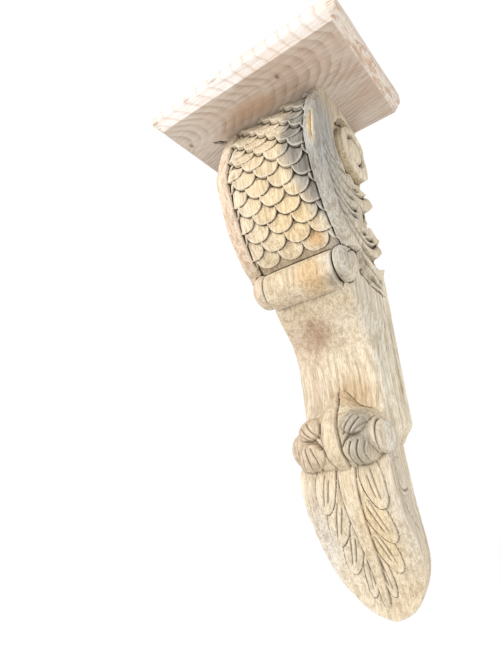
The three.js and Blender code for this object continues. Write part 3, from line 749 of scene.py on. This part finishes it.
def board_field(axes):
    """The signed field of the top board."""
    x, d, r = np.meshgrid(*axes, indexing="ij", sparse=True)
    height = -r - JOINT_GAP
    sides = np.abs(x) - BOARD_WIDTH / 2
    front = d - BOARD_DEPTH
    top = height - BOARD_THICKNESS
    ends = np.maximum(sides, front)
    slant = math.hypot(BEVEL_RUN, BEVEL_RISE)
    bevel = ((ends + BEVEL_RUN) * BEVEL_RISE - height * BEVEL_RUN) / slant
    board = round_max(round_max(sides, front, 2.0), top, 3.0)
    board = round_max(board, bevel, 1.2)
    board = round_max(board, -height, 1.0)
    board = np.maximum(board, -d)
    board = board + smooth_noise(board.shape, 25.0, GRID_STEP, 0.22, SEED + 5)
    along_crack = (x - CRACK[0]) * 0.75 - (d - CRACK[1]) * 0.66
    over_crack = (x - CRACK[0]) * 0.66 + (d - CRACK[1]) * 0.75 + 0.6 * np.sin(along_crack * 0.7)
    crack = np.hypot(along_crack / CRACK_HALF_LENGTH, over_crack / CRACK_HALF_WIDTH) - 1
    board = np.maximum(board, -np.maximum(crack, height - CRACK_HEIGHT) * 1.2)
    board = np.maximum(np.maximum(board, -d), -height)
    return np.maximum(board, np.maximum(ends, top))


# Top board
board_axes = (
    np.arange(-134, 134 + GRID_STEP, GRID_STEP),
    np.arange(-3, 186, GRID_STEP),
    np.arange(-28, 3, GRID_STEP),
)
board = board_field(board_axes)
points, quads = surface(board.astype(np.float32), board_axes)
board_piece = make_mesh("bevelled_board", to_frame(points), quads[:, ::-1], BOARD_TRIANGLES)
mark_hollows(board_piece, board, board_axes, HOLLOW_WIDTHS)
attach(board_piece, "root")
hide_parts("top_board")


# Materials. TONE scales every paint colour to how it looks in the studio light.
TONE = 0.62
RIM_FROM_SIDE = (BOARD_WIDTH / 2 - BEVEL_RUN + 0.1) / 1000
RIM_FROM_WALL = (BOARD_DEPTH - BEVEL_RUN + 0.2) / 1000
RIM_SOFTNESS = 0.0006

# Stains and painted shade: place and reach in frame metres, tone as it looks, and strength
BODY_STAINS_AND_SHADE = [
    # Warm scales, with one darker scale low down, and the warm patch on the upper roll
    ((0.008, -0.128, 0.120), (0.044, 0.045, 0.090), (238, 216, 174), 0.60),
    ((0.022, -0.118, 0.085), (0.024, 0.030, 0.030), (236, 206, 148), 0.40),
    ((0.032, -0.099, 0.062), (0.010, 0.016, 0.009), (224, 172, 104), 0.62),
    ((0.014, -0.095, 0.024), (0.017, 0.026, 0.026), (212, 170, 106), 0.62),
    # Grey weathering of the right wing, of the scales beside it and of the right cap
    ((0.056, -0.118, 0.170), (0.024, 0.070, 0.085), (176, 178, 178), 0.85),
    ((0.062, -0.112, 0.110), (0.013, 0.060, 0.070), (180, 182, 182), 0.82),
    ((0.047, -0.128, 0.118), (0.013, 0.030, 0.034), (154, 152, 148), 0.75),
    ((0.036, -0.130, 0.180), (0.013, 0.030, 0.045), (126, 125, 122), 0.72),
    ((0.054, -0.094, 0.034), (0.015, 0.024, 0.022), (204, 202, 196), 0.75),
    # Painted shade in the corner under the right cap, raw wood in the gouge, and painted shade along the
    # inner edge of the wing beside its cut
    ((0.044, -0.088, 0.010), (0.012, 0.012, 0.010), (116, 104, 88), 0.55),
    ((0.0630, -0.136, 0.174), (0.0030, 0.030, 0.022), (240, 214, 162), 0.85),
    ((0.0500, -0.130, 0.150), (0.0045, 0.030, 0.060), (104, 99, 92), 0.65),
    # Pale side volute and fronds
    ((0.058, -0.045, 0.180), (0.010, 0.055, 0.060), (255, 238, 200), 0.85),
    ((0.0745, -0.025, 0.204), (0.006, 0.042, 0.042), (252, 242, 218), 0.80),
    ((0.064, -0.060, 0.100), (0.010, 0.060, 0.060), (222, 210, 184), 0.50),
    # Grey right lobes, pale right knob, and the greyish right side of the tail
    ((0.030, -0.066, -0.152), (0.017, 0.020, 0.034), (160, 156, 146), 0.75),
    ((0.056, -0.050, -0.158), (0.009, 0.024, 0.022), (236, 232, 220), 0.75),
    ((0.050, -0.040, -0.235), (0.012, 0.040, 0.060), (226, 220, 208), 0.60),
    # Shaft: pale band at its right, rosy left, shade under the roll, brown spot, warm foot
    ((0.053, -0.032, -0.045), (0.011, 0.060, 0.090), (224, 222, 210), 0.62),
    ((-0.034, -0.060, -0.060), (0.026, 0.040, 0.070), (230, 206, 184), 0.60),
    ((0.004, -0.070, -0.008), (0.060, 0.022, 0.014), (212, 192, 160), 0.50),
    ((-0.012, -0.056, -0.036), (0.030, 0.030, 0.026), (218, 194, 168), 0.55),
    ((-0.013, -0.056, -0.034), (0.018, 0.020, 0.015), (184, 152, 124), 0.70),
    ((0.012, -0.030, -0.105), (0.024, 0.014, 0.022), (206, 172, 128), 0.50),
    # Rosy left wing and left lobes, pale left and warm right of the tail's middle
    ((-0.062, -0.120, 0.120), (0.012, 0.060, 0.120), (236, 210, 188), 0.65),
    ((-0.036, -0.064, -0.155), (0.022, 0.030, 0.030), (214, 188, 162), 0.65),
    ((-0.040, -0.030, -0.240), (0.016, 0.040, 0.050), (232, 226, 222), 0.55),
    ((0.026, -0.045, -0.250), (0.018, 0.030, 0.040), (240, 214, 162), 0.50),
]
BOARD_STAINS = [
    # Small knots under the board and in its front, then the warm wood beside the body
    ((-0.112, -0.130, 0.250), (0.003, 0.004, 0.004), (150, 104, 64), 0.70),
    ((-0.072, -0.183, 0.264), (0.006, 0.006, 0.003), (158, 116, 84), 0.55),
    ((-0.030, -0.183, 0.266), (0.007, 0.006, 0.003), (160, 120, 90), 0.55),
    ((0.038, -0.150, 0.250), (0.002, 0.003, 0.004), (120, 92, 70), 0.70),
    ((-0.010, -0.130, 0.250), (0.030, 0.014, 0.006), (206, 166, 130), 0.55),
]


def linear(red, green, blue):
    """The paint colour that looks like this tone in the studio light."""
    def channel(value):
        value /= 255
        value = value / 12.92 if value <= 0.04045 else ((value + 0.055) / 1.055) ** 2.4
        return value * TONE
    return channel(red), channel(green), channel(blue), 1.0


class Paint:
    """A small helper that chains shader nodes of one material."""

    def __init__(self, name, roughness):
        self.material = bpy.data.materials.new(name)
        self.material.use_nodes = True
        self.tree = self.material.node_tree
        self.shader = self.tree.nodes["Principled BSDF"]
        self.shader.inputs["Roughness"].default_value = roughness
        self.shader.inputs["Specular IOR Level"].default_value = 0.25
        self.place = self.tree.nodes.new("ShaderNodeTexCoord").outputs["Object"]
        self.split = self.tree.nodes.new("ShaderNodeSeparateXYZ")
        self.link(self.place, self.split.inputs[0])

    def link(self, source, target):
        """Joins an output to an input."""
        self.tree.links.new(source, target)

    def value(self, source, target):
        """Gives an input a link or a constant."""
        if hasattr(source, "is_linked"):
            self.link(source, target)
        else:
            target.default_value = source

    def stretch(self, scale, turn=(0, 0, 0), move=(0, 0, 0)):
        """The place in frame metres, scaled, turned and moved."""
        node = self.tree.nodes.new("ShaderNodeMapping")
        node.inputs["Scale"].default_value = scale
        node.inputs["Rotation"].default_value = turn
        node.inputs["Location"].default_value = move
        self.link(self.place, node.inputs["Vector"])
        return node.outputs["Vector"]

    def noise(self, scale, detail, distortion=0.0, turn=(0, 0, 0)):
        """Noise with its own scale, per metre, along each axis."""
        node = self.tree.nodes.new("ShaderNodeTexNoise")
        node.inputs["Scale"].default_value = 1.0
        node.inputs["Detail"].default_value = detail
        node.inputs["Distortion"].default_value = distortion
        self.link(self.stretch(scale, turn), node.inputs["Vector"])
        return node.outputs["Fac"]

    def between(self, source, low, high, out_low=0.0, out_high=1.0):
        """Eases a value from one range into another."""
        node = self.tree.nodes.new("ShaderNodeMapRange")
        node.interpolation_type = "SMOOTHSTEP"
        numbers = {"From Min": low, "From Max": high, "To Min": out_low, "To Max": out_high}
        for name, number in numbers.items():
            node.inputs[name].default_value = number
        self.link(source, node.inputs["Value"])
        return node.outputs["Result"]

    def apply(self, operation, first, second):
        """The result of one named step of arithmetic."""
        node = self.tree.nodes.new("ShaderNodeMath")
        node.operation = operation
        self.value(first, node.inputs[0])
        self.value(second, node.inputs[1])
        return node.outputs[0]

    def mix(self, share, first, second, blend="MIX"):
        """Two colours mixed by a share."""
        node = self.tree.nodes.new("ShaderNodeMix")
        node.data_type = "RGBA"
        node.blend_type = blend
        self.value(share, node.inputs[0])
        self.value(first, node.inputs[6])
        self.value(second, node.inputs[7])
        return node.outputs[2]

    def attribute(self, name):
        """A value written on the points of the piece."""
        node = self.tree.nodes.new("ShaderNodeAttribute")
        node.attribute_name = name
        return node.outputs["Fac"]

    def spot(self, centre, reach, warp):
        """A blotch round a place given in frame metres, with a wandering edge."""
        scale = [1 / v for v in reach]
        move = [-c / v for c, v in zip(centre, reach)]
        length = self.tree.nodes.new("ShaderNodeVectorMath")
        length.operation = "LENGTH"
        self.link(self.stretch(scale, (0, 0, 0), move), length.inputs[0])
        wander = self.apply("ADD", length.outputs["Value"], self.apply("MULTIPLY", warp, 0.9))
        return self.between(wander, 2.05, 0.85)

    def mix_spots(self, colour, spots, warp):
        """The colour with each spot of a list mixed in: stains, and on the body painted shade as well."""
        for centre, reach, tone, strength in spots:
            share = self.apply("MULTIPLY", self.spot(centre, reach, warp), strength)
            colour = self.mix(share, colour, linear(*tone))
        return colour

    def bump(self, height, strength, distance):
        """Roughens the surface by a height."""
        node = self.tree.nodes.new("ShaderNodeBump")
        node.inputs["Strength"].default_value = strength
        node.inputs["Distance"].default_value = distance
        self.link(height, node.inputs["Height"])
        self.link(node.outputs["Normal"], self.shader.inputs["Normal"])

    def finish(self, colour):
        """The material with its colour set."""
        self.link(colour, self.shader.inputs["Base Color"])
        return self.material


def wood_for_body():
    """Pale carved wood: stains with some painted shade among them, grain, edges painted lighter as
    highlight and wear, broad painted shade in the hollows, and painted shade and dirt in the creases and
    cuts.
    """
    paint = Paint("carved wood", 0.8)
    broad = paint.noise((11, 11, 6), 3.0)
    warp = paint.noise((38, 38, 20), 5.0)
    grain = paint.noise((240, 240, 12), 6.0, 0.5)
    fibre = paint.noise((820, 820, 60), 3.0)
    pores = paint.noise((1300, 1300, 420), 2.0)
    marks = paint.noise((130, 130, 60), 4.0)
    colour = paint.mix(paint.between(broad, 0.38, 0.62), linear(234, 218, 190), linear(249, 238, 216))
    colour = paint.mix_spots(colour, BODY_STAINS_AND_SHADE, warp)
    veins = paint.mix(paint.between(grain, 0.40, 0.66), (1.06, 1.05, 1.04, 1), (0.70, 0.64, 0.56, 1))
    colour = paint.mix(0.75, colour, veins, "MULTIPLY")
    hairs = paint.mix(paint.between(fibre, 0.42, 0.66), (1.08, 1.07, 1.06, 1), (0.68, 0.63, 0.56, 1))
    colour = paint.mix(0.64, colour, hairs, "MULTIPLY")
    colour = paint.mix(paint.between(pores, 0.60, 0.72, 0.0, 0.60), colour, linear(128, 106, 80))
    # Convex edges are painted lighter: a painted highlight along the edges, and wear.
    edge_highlight_and_wear = paint.between(paint.attribute("hollow"), 0.47, 0.34, 0.0, 0.45)
    colour = paint.mix(edge_highlight_and_wear, colour, linear(252, 242, 224))
    # Hollows and the side cuts are painted dark brown, patchy with the marks noise and fainter lower down:
    # painted shade and dirt.
    hollow = paint.between(paint.attribute("hollow"), 0.525, 0.645)
    hollow = paint.apply("MAXIMUM", hollow, paint.apply("MULTIPLY", paint.attribute("cuts"), 0.95))
    shade = paint.between(paint.attribute("shade"), 0.58, 0.88)
    colour = paint.mix(paint.apply("MULTIPLY", shade, 0.22), colour, linear(178, 146, 104))
    shade_and_dirt = paint.apply("MULTIPLY", hollow, paint.between(marks, 0.30, 0.60, 0.65, 1.0))
    fainter_below = paint.between(paint.split.outputs["Z"], -0.175, -0.060, 0.55, 1.0)
    shade_and_dirt = paint.apply("MULTIPLY", shade_and_dirt, fainter_below)
    colour = paint.mix(shade_and_dirt, colour, linear(54, 40, 27))
    height = paint.apply("ADD", grain, paint.apply("MULTIPLY", fibre, 0.6))
    height = paint.apply("ADD", height, paint.apply("MULTIPLY", marks, 0.3))
    paint.bump(height, 0.5, 0.0012)
    return paint.finish(colour)


def wood_for_board():
    """Pale planed wood: growth rings under the board, a paler rim that is partly painted light, cut ends,
    and painted shade in its hollows.
    """
    paint = Paint("board wood", 0.8)
    grain = paint.noise((9, 200, 200), 6.0, 0.5)
    fibre = paint.noise((50, 800, 800), 3.0)
    pores = paint.noise((400, 1300, 1300), 2.0)
    broad = paint.noise((14, 14, 14), 3.0)
    rings = paint.tree.nodes.new("ShaderNodeTexWave")
    rings.wave_type = "RINGS"
    rings.rings_direction = "Z"
    rings.wave_profile = "SAW"
    rings.inputs["Scale"].default_value = 1.0
    rings.inputs["Distortion"].default_value = 4.5
    rings.inputs["Detail"].default_value = 3.0
    rings.inputs["Detail Scale"].default_value = 0.45
    rings.inputs["Detail Roughness"].default_value = 0.5
    paint.link(paint.stretch((21, 74, 21), (0, 0, 0.22), (2.9, 11.6, 0)), rings.inputs["Vector"])
    faint = paint.between(paint.noise((22, 40, 22), 2.0), 0.38, 0.62, 0.12, 0.42)
    ring_share = paint.apply("MULTIPLY", paint.between(rings.outputs["Fac"], 0.25, 1.0), faint)
    under = paint.mix(paint.between(broad, 0.35, 0.65), linear(222, 200, 182), linear(233, 220, 207))
    under = paint.mix(ring_share, under, linear(162, 134, 108))
    side = paint.apply("SUBTRACT", paint.apply("ABSOLUTE", paint.split.outputs["X"], 0), RIM_FROM_SIDE)
    front = paint.apply("SUBTRACT", paint.apply("MULTIPLY", paint.split.outputs["Y"], -1), RIM_FROM_WALL)
    rim = paint.between(paint.apply("MAXIMUM", side, front), -RIM_SOFTNESS, RIM_SOFTNESS)
    end = paint.between(side, -RIM_SOFTNESS, RIM_SOFTNESS)
    pale = paint.mix(paint.between(broad, 0.40, 0.60), linear(246, 232, 220), linear(250, 244, 240))
    pale = paint.mix(paint.between(rings.outputs["Fac"], 0.60, 1.0, 0.0, 0.40), pale, linear(206, 172, 146))
    slant = paint.noise((20, 60, 420), 4.0, 0.6, (0.5, 0, 0))
    cut = paint.mix(paint.between(slant, 0.45, 0.62), linear(240, 230, 218), linear(206, 172, 142))
    pale = paint.mix(paint.apply("MULTIPLY", end, 0.8), pale, cut)
    # The rim is painted paler than the underside: partly the bevel's own colour, partly painted light on
    # the bevel faces turned to the front.
    colour = paint.mix(rim, under, pale)
    veins = paint.mix(paint.between(grain, 0.42, 0.68), (1.05, 1.04, 1.03, 1), (0.78, 0.71, 0.64, 1))
    colour = paint.mix(0.35, colour, veins, "MULTIPLY")
    hairs = paint.mix(paint.between(fibre, 0.42, 0.66), (1.05, 1.05, 1.04, 1), (0.82, 0.78, 0.73, 1))
    colour = paint.mix(0.6, colour, hairs, "MULTIPLY")
    colour = paint.mix(paint.between(pores, 0.64, 0.76, 0.0, 0.5), colour, linear(130, 106, 84))
    colour = paint.mix_spots(colour, BOARD_STAINS, broad)
    # Hollows such as the crack are painted near black: painted shade.
    hollow = paint.between(paint.attribute("hollow"), 0.52, 0.60)
    colour = paint.mix(hollow, colour, linear(40, 26, 18))
    height = paint.apply("ADD", grain, paint.apply("MULTIPLY", fibre, 0.6))
    paint.bump(height, 0.5, 0.0009)
    return paint.finish(colour)


for piece, wood in ((carved_body, wood_for_body()), (board_piece, wood_for_board())):
    piece.data.materials.clear()
    piece.data.materials.append(wood)

# Floor, light and camera
FLOOR_HALF = 12.0
FLOOR_LEVEL = -1.0
floor_corners = [(x * FLOOR_HALF, y * FLOOR_HALF, 0) for x, y in ((-1, -1), (1, -1), (1, 1), (-1, 1))]
floor_mesh = bpy.data.meshes.new("floor")
floor_mesh.from_pydata(floor_corners, [], [(0, 1, 2, 3)])
floor = bpy.data.objects.new("floor", floor_mesh)
floor.location.z = FLOOR_LEVEL
bpy.context.scene.collection.objects.link(floor)
pale = bpy.data.materials.new("pale floor")
pale.use_nodes = True
pale.node_tree.nodes["Principled BSDF"].inputs["Base Color"].default_value = (1, 1, 1, 1)
pale.node_tree.nodes["Principled BSDF"].inputs["Roughness"].default_value = 0.9
floor.data.materials.append(pale)

LAMP_TARGET = (0, -0.08, 0)


def lamp(name, place, width, power, tone):
    """A square soft lamp that points at the middle of the bracket."""
    light = bpy.data.lights.new(name, "AREA")
    light.size = width
    light.energy = power
    light.color = tone
    item = bpy.data.objects.new(name, light)
    item.location = place
    way = Vector(LAMP_TARGET) - Vector(place)
    item.rotation_euler = way.to_track_quat("-Z", "Y").to_euler()
    bpy.context.scene.collection.objects.link(item)


lamp("key", (-0.9, -1.5, 0.9), 0.7, 34, (1.0, 0.98, 0.95))
lamp("fill", (1.6, -1.1, -0.5), 1.2, 15, (1.0, 0.98, 0.96))

world = bpy.data.worlds.new("studio")
world.use_nodes = True
world.node_tree.nodes["Background"].inputs["Color"].default_value = (1, 1, 1, 1)
world.node_tree.nodes["Background"].inputs["Strength"].default_value = 1.0
bpy.context.scene.world = world
bpy.context.scene.view_settings.view_transform = "Standard"

# The camera of the photo: where it stands, and which way its right, up and back point
CAMERA_PLACE = (0.2551, -0.5740, -0.2323)
CAMERA_AXES = ((0.8023, 0.5897, -0.0930), (0.2746, -0.2263, 0.9345), (0.5300, -0.7753, -0.3435))
camera = bpy.data.cameras.new("camera")
camera.lens = 28.56
camera.sensor_width = 36
camera.clip_start = 0.01
viewer = bpy.data.objects.new("camera", camera)
turn = Matrix(CAMERA_AXES).transposed()
viewer.matrix_world = Matrix.Translation(CAMERA_PLACE) @ turn.to_4x4()
bpy.context.scene.collection.objects.link(viewer)
bpy.context.scene.camera = viewer
